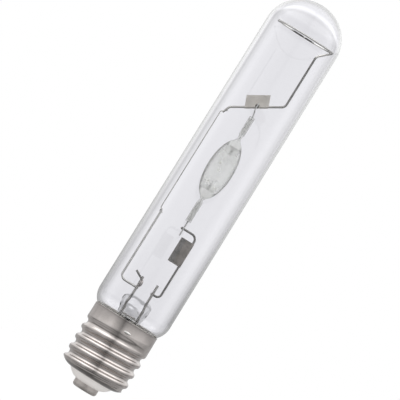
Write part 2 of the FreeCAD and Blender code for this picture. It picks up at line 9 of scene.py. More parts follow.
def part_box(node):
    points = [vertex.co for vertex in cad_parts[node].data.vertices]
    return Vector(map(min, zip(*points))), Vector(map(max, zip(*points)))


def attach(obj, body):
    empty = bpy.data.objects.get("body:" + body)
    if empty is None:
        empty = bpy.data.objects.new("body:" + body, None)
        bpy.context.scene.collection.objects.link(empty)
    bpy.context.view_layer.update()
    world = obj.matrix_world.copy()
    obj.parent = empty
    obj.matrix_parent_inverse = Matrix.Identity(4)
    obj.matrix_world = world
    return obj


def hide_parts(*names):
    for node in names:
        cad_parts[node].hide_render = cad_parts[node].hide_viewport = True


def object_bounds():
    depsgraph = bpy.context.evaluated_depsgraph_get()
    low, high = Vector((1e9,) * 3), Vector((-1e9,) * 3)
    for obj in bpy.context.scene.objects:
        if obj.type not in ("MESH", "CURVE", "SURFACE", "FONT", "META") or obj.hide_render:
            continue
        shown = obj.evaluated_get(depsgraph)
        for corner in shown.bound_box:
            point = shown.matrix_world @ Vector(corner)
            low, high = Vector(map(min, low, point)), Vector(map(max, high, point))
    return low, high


# Clear tubular metal halide lamp. The lamp stands along +Z with its centre contact at the origin.
# Lengths of the lamp are millimetres, and every mesh is scaled to metres when it is made.

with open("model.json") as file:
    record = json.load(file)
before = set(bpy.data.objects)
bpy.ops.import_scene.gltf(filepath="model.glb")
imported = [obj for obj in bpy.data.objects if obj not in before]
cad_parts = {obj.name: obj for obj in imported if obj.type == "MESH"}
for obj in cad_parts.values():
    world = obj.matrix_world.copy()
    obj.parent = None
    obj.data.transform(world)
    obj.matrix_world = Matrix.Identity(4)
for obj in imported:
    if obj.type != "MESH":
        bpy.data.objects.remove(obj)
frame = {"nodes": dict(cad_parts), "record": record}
cad_low, cad_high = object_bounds()

MM = 0.001
TURN = 2 * math.pi
# Most of a noise lies between these values
NOISE_LOW = 0.3
NOISE_HIGH = 0.7

# Bulb
LAMP_LENGTH = cad_high.z / MM
BULB_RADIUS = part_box("outer_bulb")[1].x / MM
BULB_WALL = 1.2
CROWN_RADIUS = 28.0
SHOULDER_RADIUS = 21.0
BASE_RADIUS = 12.0
BASE_Z = 53.4
NECK_RADIUS = 16.6
NECK_END_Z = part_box("outer_bulb")[0].z / MM

# Cap shell
CAP_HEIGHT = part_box("cap_shell")[1].z / MM
SHELL_RADIUS = 19.7
SHELL_WALL = 0.45
CURL_TOP_Z = 11.2
CURL_RADIUS = 9.0
LIP_RADIUS = 13.2
LIP_Z = 8.0
# How deep the skirt's waist is, how far the rim flares out, and how far its rounding goes in and down
SKIRT_DIP = 0.1
RIM_FLARE = 0.065
RIM_ROUND = 0.15

# Thread
PITCH = 6.35
THREAD_DEPTH = 1.8
THREAD_ARC = 1.85
CREST_MARGIN = 0.055
THREAD_START_Z = 11.0 - PITCH
FULL_TURNS = 4.5
# Over the last half turn: the depth left at shares of the way, and how far the groove's bottom lags
RUNOUT_TURNS = 0.5
RUNOUT_SHARES = (0.0, 0.3, 0.56, 0.71, 1.0)
RUNOUT_DEPTHS = (1.0, 0.5, 0.28, 0.07, 0.0)
RUNOUT_LAG = 2.5

# Arc tube
ARC_Z = 142.6
ARC_RADIUS = 7.75
ARC_HALF = 18.6
CHAMBER_RADIUS = 6.6
CHAMBER_HALF = 15.2
LEG_ROOT_RADIUS = 2.1
LEG_ROOT_INSET = 0.7
LEG_NECK_RADIUS = 1.0
LEG_NECK_GAP = 1.0
LEG_SHOULDER = 0.8
LEG_HALF_WIDTH = 1.65
LEG_HALF_THICKNESS = 1.15
FOIL_MARGIN = 0.4
LEG_TOP_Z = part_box("arc_tube")[1].z / MM
LEG_FOOT_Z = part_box("arc_tube")[0].z / MM
FLAT_TOP_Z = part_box("upper_foil")[0].z / MM - FOIL_MARGIN
FLAT_FOOT_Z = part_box("lower_foil")[1].z / MM + FOIL_MARGIN
# The quartz's zones are given as shares of this distance from the body's middle, and their edges waver
ZONE_REACH = 30.0
ZONE_WAVER = 0.9
# Sum of squares above which a point lies on the body's outside, and how much less painted shade the limb
# gets on its right side
OUTSIDE_REACH = 0.86
RIGHT_SHADE_EASING = 0.16

# Glass stem
STEM_TOP_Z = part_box("glass_stem")[1].z / MM
PRESS_BASE_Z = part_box("lead_in_wire_left")[0].z / MM
PRESS_FOOT_Z = PRESS_BASE_Z - 1.0
STEM_HALF_WIDTH = 8.65
STEM_HALF_THICKNESS = 4.4
STEM_TUBE_RADIUS = 7.1
STEM_BORE_RADIUS = 5.6
FLARE_TOP_Z = NECK_END_Z + 14.0
FLARE_RIM = 1.5
FLARE_SWEEP = 3.5
# The press has its full width at this share of its height. Its crown closes in above that, and the flat top
# is closed by rings at these shares of its size
PRESS_FULL_SHARE = 0.72
CROWN_CLOSING = 0.6975
CROWN_POWER = 2.6
CROWN_RINGS = np.array([0.85, 0.6, 0.3, 0.0])
# Waves of the press's skin: number round it, turn in a millimetre of height, phase and relative size
SKIN_DEPTH = 0.075
SKIN_FADE = 5.0
SKIN_WAVES = [(3, 0.55, 0.0, 1.0), (7, -1.3, 1.0, 0.7), (2, 2.1, 2.0, 0.6), (13, 0.9, 0.0, 0.4)]

# Camera, in metres and degrees, with its focal length in widths of the picture
CAMERA_PLACE = (-0.0006, -0.9, 0.05)
CAMERA_TILT = 4.59
CAMERA_ROLL = 31.8
FOCAL_WIDTHS = 1635.8 / 400
SENSOR_WIDTH = 36.0


# Meshes

def put_in_scene(name, data):
    """Object of a mesh, a camera or a light, at the origin."""
    thing = bpy.data.objects.new(name, data)
    bpy.context.collection.objects.link(thing)
    return thing


def make_object(name, points, faces, sharp=40):
    """Object from millimetre points and quads, smooth apart from edges sharper than the angle."""
    mesh = bpy.data.meshes.new(name)
    mesh.from_pydata((np.asarray(points) * MM).tolist(), [], np.asarray(faces).tolist())
    work = bmesh.new()
    work.from_mesh(mesh)
    bmesh.ops.remove_doubles(work, verts=work.verts, dist=2e-7)
    bmesh.ops.dissolve_degenerate(work, edges=work.edges, dist=1e-8)
    work.to_mesh(mesh)
    work.free()
    mesh.polygons.foreach_set("use_smooth", np.ones(len(mesh.polygons), bool))
    mesh.set_sharp_from_angle(angle=math.radians(sharp))
    mesh.update()
    return put_in_scene(name, mesh)


def grid_faces(rows, columns, round_rows=False):
    """Quads over a grid whose columns close round the axis, and whose rows close if asked."""
    index = np.arange(rows * columns).reshape(rows, columns)
    index = np.concatenate([index, index[:, :1]], axis=1)
    if round_rows:
        index = np.concatenate([index, index[:1]], axis=0)
    corners = [index[:-1, :-1], index[:-1, 1:], index[1:, 1:], index[1:, :-1]]
    return np.stack(corners, axis=-1).reshape(-1, 4)


def grid_object(name, *grids, sharp=40):
    """One object from several grids, each of rows by columns. Rows run up where the face looks outwards."""
    points = []
    faces = []
    base = 0
    for grid in grids:
        rows, columns = grid.shape[:2]
        faces.append(grid_faces(rows, columns) + base)
        points.append(grid.reshape(-1, 3))
        base += rows * columns
    return make_object(name, np.concatenate(points), np.concatenate(faces), sharp)


def sheet_object(name, outer, inner, sharp):
    """Closed sheet between two grids of the same size: up the outer one and down the inner one."""
    grid = np.concatenate([outer, inner[::-1]])
    rows, columns = grid.shape[:2]
    return make_object(name, grid.reshape(-1, 3), grid_faces(rows, columns, round_rows=True), sharp)


def turned(profile, segments):
    """Profile points (radius, height) carried round the axis: x = r cos a, y = r sin a."""
    profile = np.asarray(profile, float)
    angle = np.arange(segments) * TURN / segments
    radius = profile[:, :1]
    height = profile[:, 1:]
    return np.stack([radius * np.cos(angle), radius * np.sin(angle), height + 0 * angle], axis=-1)


def arc_points(centre, radius, start, end, count):
    """Points on an arc in the profile plane, angles in degrees from the outward direction."""
    angle = np.radians(np.linspace(start, end, count))
    return np.stack([centre[0] + radius * np.cos(angle), centre[1] + radius * np.sin(angle)], axis=1)


def straight(start, end, count):
    """Evenly spaced points from start to end."""
    share = np.linspace(0, 1, count)[:, None]
    return np.asarray(start) * (1 - share) + np.asarray(end) * share


def bezier(start, bend, end, count):
    """Points on the quadratic curve that leaves the start towards the bend and comes to the end from it."""
    share = np.linspace(0, 1, count)[:, None]
    first = (1 - share) ** 2 * np.asarray(start)
    middle = 2 * share * (1 - share) * np.asarray(bend)
    return first + middle + share ** 2 * np.asarray(end)


def dress(thing, finish, slot, *nodes):
    """Give a new piece its finish, tie it to the lamp and hide the solids it stands for."""
    thing.data.materials.clear()
    thing.data.materials.append(finish)
    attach(thing, "root")
    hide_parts(*nodes)


# Shader nodes

def new_material(name):
    """A finish, its node tree and the shader that makes its surface."""
    finish = bpy.data.materials.new(name)
    finish.use_nodes = True
    return finish, finish.node_tree, finish.node_tree.nodes["Principled BSDF"]


def add(tree, kind, values=None, **settings):
    """A node with its settings and the values of its inputs."""
    item = tree.nodes.new(kind)
    for key, value in settings.items():
        setattr(item, key, value)
    for key, value in (values or {}).items():
        item.inputs[key].default_value = value
    return item


def combine(tree, operation, first, second=None):
    """Sum, product or another operation of two node outputs or plain numbers."""
    item = add(tree, "ShaderNodeMath", operation=operation)
    for place, value in enumerate([first, second]):
        if isinstance(value, (int, float)):
            item.inputs[place].default_value = value
        elif value is not None:
            tree.links.new(value, item.inputs[place])
    return item.outputs[0]


def object_axes(tree):
    """The three Object coordinates in metres."""
    place = add(tree, "ShaderNodeTexCoord")
    split = add(tree, "ShaderNodeSeparateXYZ")
    tree.links.new(place.outputs["Object"], split.inputs["Vector"])
    return [split.outputs[name] for name in "XYZ"]


def object_noise(tree, scale, stretch=(1, 1, 1), detail=3.0):
    """Noise on Object coordinates, with a scale of its own along each axis if asked."""
    place = add(tree, "ShaderNodeTexCoord")
    mapping = add(tree, "ShaderNodeMapping", {"Scale": stretch})
    noise = add(tree, "ShaderNodeTexNoise", {"Scale": scale, "Detail": detail})
    tree.links.new(place.outputs["Object"], mapping.inputs["Vector"])
    tree.links.new(mapping.outputs["Vector"], noise.inputs["Vector"])
    return noise.outputs["Fac"]


def map_range(tree, source, low, high, to_low=0.0, to_high=1.0):
    """The source's way from low to high, as a value from to_low to to_high."""
    ends = {"From Min": low, "From Max": high, "To Min": to_low, "To Max": to_high}
    item = add(tree, "ShaderNodeMapRange", ends)
    tree.links.new(source, item.inputs["Value"])
    return item.outputs["Result"]


def spread(tree, noise, low, high):
    """The middle of a noise's range as plain values from low to high."""
    return map_range(tree, noise, NOISE_LOW, NOISE_HIGH, low, high)


def ramp(tree, source, stops):
    """Colours between (place, colour) pairs."""
    item = add(tree, "ShaderNodeValToRGB")
    elements = item.color_ramp.elements
    while len(elements) < len(stops):
        elements.new(0.5)
    for element, (place, colour) in zip(elements, stops):
        element.position = place
        element.color = (*colour, 1)
    tree.links.new(source, item.inputs["Fac"])
    return item.outputs["Color"]


def grey_ramp(tree, source, stops):
    """Greys between (place, level) pairs, for levels from nought to one."""
    return ramp(tree, source, [(place, (level, level, level)) for place, level in stops])


def drift(tree, scale, dark, light):
    """Colour that drifts between two tones with a noise."""
    return ramp(tree, object_noise(tree, scale), [(NOISE_LOW, dark), (NOISE_HIGH, light)])


def blend(tree, factor, first, second, kind="MIX"):
    """Two colours mixed or multiplied. Each is a node output or a plain grey or RGB value."""
    item = add(tree, "ShaderNodeMixRGB", blend_type=kind)
    for socket, value in zip(item.inputs, [factor, first, second]):
        if isinstance(value, bpy.types.NodeSocket):
            tree.links.new(value, socket)
        elif socket.name == "Fac":
            socket.default_value = value
        else:
            socket.default_value = (*value, 1) if isinstance(value, tuple) else (value, value, value, 1)
    return item.outputs["Color"]


def product(tree, first, second):
    """One colour times the other."""
    return blend(tree, 1.0, first, second, "MULTIPLY")


def level_ramp(tree, position, stops):
    """Grey levels between (position, level) pairs. Levels above one are scaled back up."""
    low = stops[0][0]
    high = stops[-1][0]
    peak = max(level for _, level in stops)
    shares = [((place - low) / (high - low), level / peak) for place, level in stops]
    return product(tree, grey_ramp(tree, map_range(tree, position, low, high), shares), peak)


def bump(tree, shader, source, strength, distance):
    """Let the source's hills and dips, as high as the distance in metres, turn the shader's normal."""
    item = add(tree, "ShaderNodeBump", {"Strength": strength, "Distance": distance})
    tree.links.new(source, item.inputs["Height"])
    tree.links.new(item.outputs["Normal"], shader.inputs["Normal"])


def mixed_surface(tree, factor, first, second):
    """Make the surface the first shader where the factor is nought and the second where it is one."""
    item = add(tree, "ShaderNodeMixShader")
    for socket, value in zip(item.inputs, [factor, first, second]):
        tree.links.new(value, socket)
    tree.links.new(item.outputs[0], tree.nodes["Material Output"].inputs["Surface"])


# Metals

def metal(name, dark, light, rough, grain=(1, 1, 1), relief=0.15):
    """Metal whose colour drifts between two tones, with a fine grain along one direction."""
    finish, tree, shader = new_material(name)
    shader.inputs["Metallic"].default_value = 1.0
    tree.links.new(drift(tree, 160.0, dark, light), shader.inputs["Base Color"])
    fine = object_noise(tree, 900.0, grain, 4.0)
    tree.links.new(spread(tree, fine, rough[0], rough[1]), shader.inputs["Roughness"])
    bump(tree, shader, fine, relief, 0.00003)
    return finish


def shade_by_height(finish, stops):
    """Paint light and shade into a finish's colour: multiply it by a level that follows its height in
    millimetres.
    """
    tree = finish.node_tree
    height = combine(tree, "MULTIPLY", object_axes(tree)[2], 1 / MM)
    base = tree.nodes["Principled BSDF"].inputs["Base Color"]
    tree.links.new(product(tree, base.links[0].from_socket, level_ramp(tree, height, stops)), base)
    return finish


def cap_nickel_painted_shade():
    """Satin nickel of the cap, with painted shade under the curled lower edge and a little at the rim."""
    plain = metal("cap_nickel_painted_shade", (0.62, 0.578, 0.556), (0.73, 0.68, 0.655), (0.15, 0.24), (1, 1, 6))
    # Painted shade by height: dark under the curled lower edge and darker towards the rim.
    return shade_by_height(plain, [
        (7, 0.3), (9.0, 0.34), (9.7, 0.55), (10.4, 1.0), (43.8, 1.0), (44.6, 0.75), (46, 0.6)])


def frame_nickel_painted_light():
    """Wire of the upper frame with painted light by height: dark on its leg, painted lighter on the slant
    below and with a painted highlight on the bend above.
    """
    plain = metal("upper_frame_painted_light", (0.13, 0.127, 0.122), (0.2, 0.195, 0.187), (0.3, 0.42))
    # Painted light by height: lighter on the slant below the leg, and a painted highlight on the bend
    # above.
    return shade_by_height(plain, [
        (170, 2.6), (188, 2.1), (193, 1.0), (223.4, 1.0), (224.6, 4.8), (228, 4.8), (229.4, 2.4),
        (231, 1.5), (240, 1.5)])


def ring_nickel_painted_reflections():
    """Wire of the dome ring, coloured along X with painted reflections: satin grey in front with painted
    shade towards its ends, and at the back a painted dark reflection in the middle of its span, split by a
    thin painted glint, painted bright reflections on both sides of that, and painted shade at its ends."""
    finish, tree, shader = new_material("ring_nickel_painted_reflections")
    shader.inputs["Metallic"].default_value = 1.0
    shader.inputs["Roughness"].default_value = 0.25
    x, y, _ = object_axes(tree)
    across = map_range(tree, x, -0.02, 0.022)
    bright = (0.97, 0.96, 0.93)
    satin = (0.62, 0.61, 0.59)
    dull = (0.42, 0.41, 0.4)
    faint = (0.25, 0.245, 0.235)
    painted_dark_reflection = (0.025, 0.024, 0.02)
    # At the back, colours along X are painted reflections: dark in the middle with a thin painted glint,
    # bright on both sides.
    rear = ramp(tree, across, [
        (0, faint), (0.15, satin), (0.2, bright), (0.28, bright), (0.35, painted_dark_reflection), (0.48, painted_dark_reflection),
        (0.505, satin), (0.53, painted_dark_reflection), (0.61, painted_dark_reflection), (0.67, bright), (0.8, bright), (0.86, dull)])
    # In front, painted shade towards the ends.
    front = ramp(tree, across, [(0, dull), (0.1, satin), (0.6, satin), (1, dull)])
    behind = combine(tree, "GREATER_THAN", y, 0.0)
    tree.links.new(blend(tree, behind, front, rear), shader.inputs["Base Color"])
    return finish


# Glass and ceramic

def clear_glass(name, tint, bend, rough, ripple, ripple_scale, stretch):
    """Clear glass with a slow ripple in its surface."""
    finish, tree, shader = new_material(name)
    shader.inputs["Base Color"].default_value = (*tint, 1)
    shader.inputs["Transmission Weight"].default_value = 1.0
    shader.inputs["IOR"].default_value = bend
    tree.links.new(spread(tree, object_noise(tree, 60.0), 0.0, rough), shader.inputs["Roughness"])
    bump(tree, shader, object_noise(tree, ripple_scale, stretch, 1.5), ripple, 0.0004)
    return finish


def glaze(name, dark, light, rough):
    """Pale fired or set material with a soft gloss."""
    finish, tree, shader = new_material(name)
    tree.links.new(drift(tree, 120.0, dark, light), shader.inputs["Base Color"])
    shader.inputs["Roughness"].default_value = rough
    bump(tree, shader, object_noise(tree, 700.0), 0.15, 0.0001)
    return finish


def quartz_outside(tree, x, y, z):
    """One on the body's outside and nought on the chamber's wall.

    The three values are shares of the body's radius and half length from its middle. The sum of their
    squares is one or more on the outside, and well under one on the wall.
    """
    squares = [combine(tree, "MULTIPLY", value, value) for value in (x, y, z)]
    reach = combine(tree, "ADD", combine(tree, "ADD", squares[0], squares[1]), squares[2])
    return combine(tree, "GREATER_THAN", reach, OUTSIDE_REACH)


def quartz_limb(tree, x, height, outside):
    """How far the surface turns away from the eye, on the outside only, which sets the painted shade at the
    limb. It counts less on the right, where less shade is painted, and less on the white coated ends."""
    facing = add(tree, "ShaderNodeLayerWeight", {"Blend": 0.5}).outputs["Facing"]
    shade_easing = combine(tree, "MULTIPLY", combine(tree, "MAXIMUM", x, 0.0), RIGHT_SHADE_EASING)
    turned_away = combine(tree, "MULTIPLY", facing, outside)
    limb = combine(tree, "MULTIPLY", turned_away, combine(tree, "SUBTRACT", 1.0, shade_easing))
    coated = grey_ramp(tree, height, [(0, 1), (0.49, 1), (0.55, 0.55), (0.63, 0.55), (0.68, 1)])
    return combine(tree, "MULTIPLY", limb, coated)


def quartz_colour(tree, limb, height, outside):
    """Milky white with painted shade at the limb, and on the outside a grey seam at the coating's edge."""
    # The darker tints towards the limb are painted shade.
    tint = ramp(tree, limb, [
        (0, (0.93, 0.935, 0.92)), (0.3, (0.9, 0.905, 0.89)), (0.44, (0.5, 0.51, 0.49)),
        (0.66, (0.34, 0.34, 0.33)), (1, (0.28, 0.28, 0.28))])
    seam = grey_ramp(tree, height, [(0, 1), (0.43, 1), (0.45, 0.78), (0.472, 0.78), (0.49, 1), (1, 1)])
    return blend(tree, outside, tint, product(tree, tint, seam))


def quartz_cover(tree, limb, height):
    """How much of the light the quartz stops: little in the middle, most on the coated ends, less on the
    legs, and more towards the limb. It is mottled a little."""
    body = grey_ramp(tree, height, [
        (0, 0.16), (0.2, 0.16), (0.43, 0.34), (0.455, 0.38), (0.5, 0.8), (0.6, 0.8), (0.66, 0.3),
        (1, 0.24)])
    edge = grey_ramp(tree, limb, [(0, 0), (0.3, 0.1), (0.44, 0.38), (0.6, 0.7), (0.8, 0.9), (1, 1)])
    mottle = spread(tree, object_noise(tree, 150.0, (1, 1, 0.5)), -0.1, 0.12)
    cover = combine(tree, "ADD", combine(tree, "MAXIMUM", body, edge), mottle)
    return combine(tree, "MINIMUM", combine(tree, "MAXIMUM", cover, 0.0), 1.0)


def milky_quartz():
    """Quartz of the arc tube. Its zones follow the distance from the body's middle, up or down, with
    slightly uneven edges."""
    finish, tree, shader = new_material("milky_quartz")
    axes = object_axes(tree)
    x, y = [combine(tree, "DIVIDE", axis, ARC_RADIUS * MM) for axis in axes[:2]]
    from_middle = combine(tree, "ABSOLUTE", combine(tree, "SUBTRACT", axes[2], ARC_Z * MM))
    outside = quartz_outside(tree, x, y, combine(tree, "DIVIDE", from_middle, ARC_HALF * MM))
    waver = combine(tree, "MULTIPLY", object_noise(tree, 260.0), ZONE_WAVER * MM)
    height = combine(tree, "DIVIDE", combine(tree, "ADD", from_middle, waver), ZONE_REACH * MM)
    limb = quartz_limb(tree, x, height, outside)

    tree.links.new(quartz_colour(tree, limb, height, outside), shader.inputs["Base Color"])
    cloud = spread(tree, object_noise(tree, 220.0, (1, 1, 0.6)), 0.25, 0.45)
    tree.links.new(cloud, shader.inputs["Roughness"])
    bump(tree, shader, object_noise(tree, 300.0), 0.15, 0.0002)

    clear = add(tree, "ShaderNodeBsdfTransparent", {"Color": (0.98, 0.982, 0.976, 1)})
    mixed_surface(tree, quartz_cover(tree, limb, height), clear.outputs[0], shader.outputs[0])
    return finish


# Finishes by slot. A metal has a darker and a lighter tone and a range of roughness. A glass has a tint,
# its bending of light, a haze, and a ripple with its scale and stretch.
FINISHES = {
    "bulb_glass": clear_glass("bulb_glass", (0.955, 0.955, 0.962), 1.49, 0.012, 0.03, 20.0, (1, 1, 0.2)),
    "stem_glass": clear_glass("stem_glass", (0.985, 0.987, 0.99), 1.17, 0.05, 0.95, 190.0, (1, 1, 1)),
    "quartz": milky_quartz(),
    "cap_metal": cap_nickel_painted_shade(),
    "contact_metal": metal("contact_nickel", (0.67, 0.625, 0.595), (0.82, 0.765, 0.73), (0.3, 0.45)),
    "solder": metal("solder_alloy", (0.76, 0.75, 0.73), (0.88, 0.87, 0.85), (0.35, 0.5)),
    "insulator": glaze("insulator_glaze", (0.79, 0.755, 0.73), (0.85, 0.815, 0.79), 0.3),
    "cement": glaze("cap_cement", (0.60, 0.57, 0.50), (0.72, 0.69, 0.62), 0.8),
    "nickel_wire": metal("nickel_wire", (0.14, 0.137, 0.13), (0.24, 0.232, 0.225), (0.28, 0.42)),
    "molybdenum": metal("molybdenum", (0.56, 0.56, 0.55), (0.74, 0.74, 0.73), (0.4, 0.55)),
    "tungsten": metal("tungsten", (0.55, 0.55, 0.54), (0.7, 0.7, 0.69), (0.45, 0.6)),
    "shield_sheet": metal("shield_sheet", (0.50, 0.475, 0.44), (0.70, 0.665, 0.615), (0.35, 0.5)),
    "getter_sheet": metal(
        "getter_sheet", (0.17, 0.156, 0.142), (0.32, 0.295, 0.272), (0.4, 0.6), relief=0.5),
    "getter_powder": metal(
        "getter_powder", (0.27, 0.262, 0.255), (0.46, 0.447, 0.435), (0.7, 0.9), relief=0.6),
    "halide": glaze("halide_salt", (0.8, 0.79, 0.72), (0.9, 0.89, 0.84), 0.15),
}

# Wires and welds with colours apart from the other nickel wires. The ring and the upper frame carry painted
# reflections and highlights, the shield's weld is dark burnt nickel, and the rest are lighter and darker
# copies of one nickel: painted light and shade for how bright each wire shows.
WIRE_FINISHES = {
    "dome_ring": ring_nickel_painted_reflections(),
    "lead_in_wire_left": metal("left_lead_nickel", (0.32, 0.31, 0.30), (0.46, 0.45, 0.435), (0.3, 0.42)),
    "lead_in_wire_right": metal("right_lead_nickel", (0.32, 0.31, 0.30), (0.46, 0.45, 0.435), (0.3, 0.42)),
    "upper_support_wire": frame_nickel_painted_light(),
    "weld_slug": metal("slug_nickel", (0.34, 0.31, 0.30), (0.46, 0.43, 0.42), (0.3, 0.42)),
    "lower_support_wire": metal(
        "lower_frame_nickel", (0.12, 0.117, 0.112), (0.2, 0.195, 0.187), (0.3, 0.42)),
    "left_support_wire": metal("pale_nickel", (0.52, 0.515, 0.5), (0.66, 0.65, 0.635), (0.3, 0.42)),
    "weld_shield": metal(
        "burnt_nickel", (0.05, 0.047, 0.042), (0.12, 0.115, 0.105), (0.4, 0.6), relief=0.5),
    "return_wire": metal("thin_nickel", (0.4, 0.39, 0.37), (0.5, 0.49, 0.47), (0.3, 0.42)),
}


def finish_nodes():
    """Every solid that stays gets the finish of its slot."""
    slots = {part["node"]: part["material_slot"] for part in frame["record"]["subparts"]}
    for name, thing in frame["nodes"].items():
        thing.data.materials.clear()
        thing.data.materials.append(WIRE_FINISHES.get(name, FINISHES[slots[name]]))


# Bulb

def bulb_profile(offset):
    """Bulb outline from the neck's end up to the apex, moved inwards by the offset.

    An arc leads from the straight neck out to the straight tube, another round the shoulder, and a third
    over the crown. Tube and arcs meet without a corner.
    """
    side = BULB_RADIUS - SHOULDER_RADIUS
    reach = CROWN_RADIUS - SHOULDER_RADIUS
    lean = math.degrees(math.asin(side / reach))
    crown = (0.0, LAMP_LENGTH - CROWN_RADIUS)
    shoulder = (side, crown[1] + reach * math.cos(math.radians(lean)))
    base = (BULB_RADIUS - BASE_RADIUS, BASE_Z)
    turn = math.degrees(math.acos((NECK_RADIUS - base[0]) / BASE_RADIUS))
    base_arc = arc_points(base, BASE_RADIUS - offset, -turn, 0, 24)
    shoulder_arc = arc_points(shoulder, SHOULDER_RADIUS - offset, 0, 90 - lean, 40)
    crown_arc = arc_points(crown, CROWN_RADIUS - offset, 90 - lean, 90, 14)
    crown_arc[-1, 0] = 0
    neck = straight((base_arc[0, 0], NECK_END_Z), base_arc[0], 14)
    tube = straight(base_arc[-1], shoulder_arc[0], 90)
    return np.concatenate([neck[:-1], base_arc, tube[1:-1], shoulder_arc, crown_arc[1:]])


def make_bulb(segments=180):
    """The outline and, a wall's thickness inside it, the same outline, both turned round the axis."""
    outer = turned(bulb_profile(0), segments)
    inner = turned(bulb_profile(BULB_WALL), segments)
    bulb = sheet_object("bulb_glass", outer, inner, sharp=60)
    dress(bulb, FINISHES["bulb_glass"], "bulb_glass", "outer_bulb")


# Cap shell

def thread_radius(angle, z):
    """Radius of the rolled thread at an angle and height.

    Tangent arcs of one radius make crest and root. Over the run-out the groove's bottom lags below the
    helix, by the square of the share run times the full lag, while the crests stay on it. The groove's
    depth fades along it, most quickly at first.
    """
    turns = (z - THREAD_START_Z) / PITCH - angle / TURN
    nearest = np.round(turns)
    share = np.clip((nearest + angle / TURN - FULL_TURNS) / RUNOUT_TURNS, 0, 1)
    lag = RUNOUT_LAG * share ** 2
    above = (turns - nearest) * PITCH + lag
    gap = np.abs(above) / (PITCH / 2 + np.where(above > 0, lag, -lag)) * PITCH / 2
    top = SHELL_RADIUS + CREST_MARGIN
    root_rise = THREAD_ARC - np.sqrt(THREAD_ARC ** 2 - np.minimum(gap, PITCH / 4) ** 2)
    crest_fall = THREAD_ARC - np.sqrt(THREAD_ARC ** 2 - np.minimum(PITCH / 2 - gap, PITCH / 4) ** 2)
    groove = np.where(gap < PITCH / 4, SHELL_RADIUS - THREAD_DEPTH + root_rise, top - crest_fall)
    return top - (top - groove) * np.interp(share, RUNOUT_SHARES, RUNOUT_DEPTHS)


def skirt_dip(angle, z):
    """How far the skirt lies inside its full radius: it falls in above the thread and flares at the rim."""
    ridge = THREAD_START_Z + PITCH * (FULL_TURNS + 0.5 + np.abs(angle / TURN - 0.5))
    share = np.clip((z - ridge) / (CAP_HEIGHT - ridge), 0, 1)
    return SKIRT_DIP * (1 - (1 - share) ** 3) - RIM_FLARE * share ** 4


def shell_profile():
    """The shell's outline without its thread: the curled lower edge, the skirt and the rounded rim."""
    lip = np.array([LIP_RADIUS, LIP_Z])
    top = np.array([SHELL_RADIUS, CURL_TOP_Z])
    chord = top - lip
    half = np.linalg.norm(chord) / 2
    inward = np.array([-chord[1], chord[0]]) / (2 * half)
    centre = (lip + top) / 2 + inward * math.sqrt(CURL_RADIUS ** 2 - half ** 2)
    out, up = np.transpose([lip - centre, top - centre])
    start, end = np.degrees(np.arctan2(up, out))
    curl = arc_points(centre, CURL_RADIUS, start, end, 22)
    skirt = straight(top, (SHELL_RADIUS, CAP_HEIGHT - RIM_ROUND), 170)
    shoulder = (SHELL_RADIUS - RIM_ROUND / 3, CAP_HEIGHT - RIM_ROUND / 5)
    rim = [shoulder, (SHELL_RADIUS - RIM_ROUND, CAP_HEIGHT)]
    return np.concatenate([curl, skirt[1:], rim])


def shell_grid(columns=240):
    """Outer face of the shell from its lip up to the rim. The smaller of outline and thread counts."""
    profile = shell_profile()
    angle = np.arange(columns) * TURN / columns
    z = profile[:, 1:] + 0 * angle
    plain = profile[:, :1] - skirt_dip(angle[None, :], z)
    radius = np.minimum(plain, thread_radius(angle[None, :], z))
    return np.stack([radius * np.cos(angle), radius * np.sin(angle), z], axis=-1)


def inward_normal(grid):
    """Unit normals of a grid that closes round the axis, pointing to the axis side."""
    across = np.roll(grid, -1, axis=1) - np.roll(grid, 1, axis=1)
    along = np.gradient(grid, axis=0)
    normal = -np.cross(across, along)
    return normal / np.linalg.norm(normal, axis=-1, keepdims=True)


def make_shell():
    """The outer face and, a wall's thickness along its normals, the inner one, both as high at the rim."""
    outer = shell_grid()
    inner = outer + inward_normal(outer) * SHELL_WALL
    inner[-3:, :, 2] = outer[-3:, :, 2]
    shell = sheet_object("thread_shell", outer, inner, sharp=50)
    dress(shell, FINISHES["cap_metal"], "cap_metal", "cap_shell")


# Arc tube

def arc_tube_size(z, leg_size):
    """Half width or half thickness of the arc tube's outside at a height.

    The body is an ellipse. From its tips a cone narrows to a round neck, and a shoulder leads on to the
    flattened leg. The larger of body and leg counts.
    """
    height = z - ARC_Z
    body = ARC_RADIUS * np.sqrt(np.clip(1 - (height / ARC_HALF) ** 2, 0, None))
    root = ARC_HALF - LEG_ROOT_INSET
    neck = ARC_HALF + LEG_NECK_GAP
    flat_top = FLAT_TOP_Z - ARC_Z
    flat_foot = ARC_Z - FLAT_FOOT_Z
    sizes = [LEG_ROOT_RADIUS, LEG_NECK_RADIUS, LEG_NECK_RADIUS, leg_size]
    upper = np.interp(height, [root, neck, flat_top - LEG_SHOULDER, flat_top], sizes)
    lower = np.interp(-height, [root, neck, flat_foot - LEG_SHOULDER, flat_foot], sizes)
    leg = np.where(height > 0, upper, lower)
    return np.where(np.abs(height) > root, np.maximum(body, leg), body)


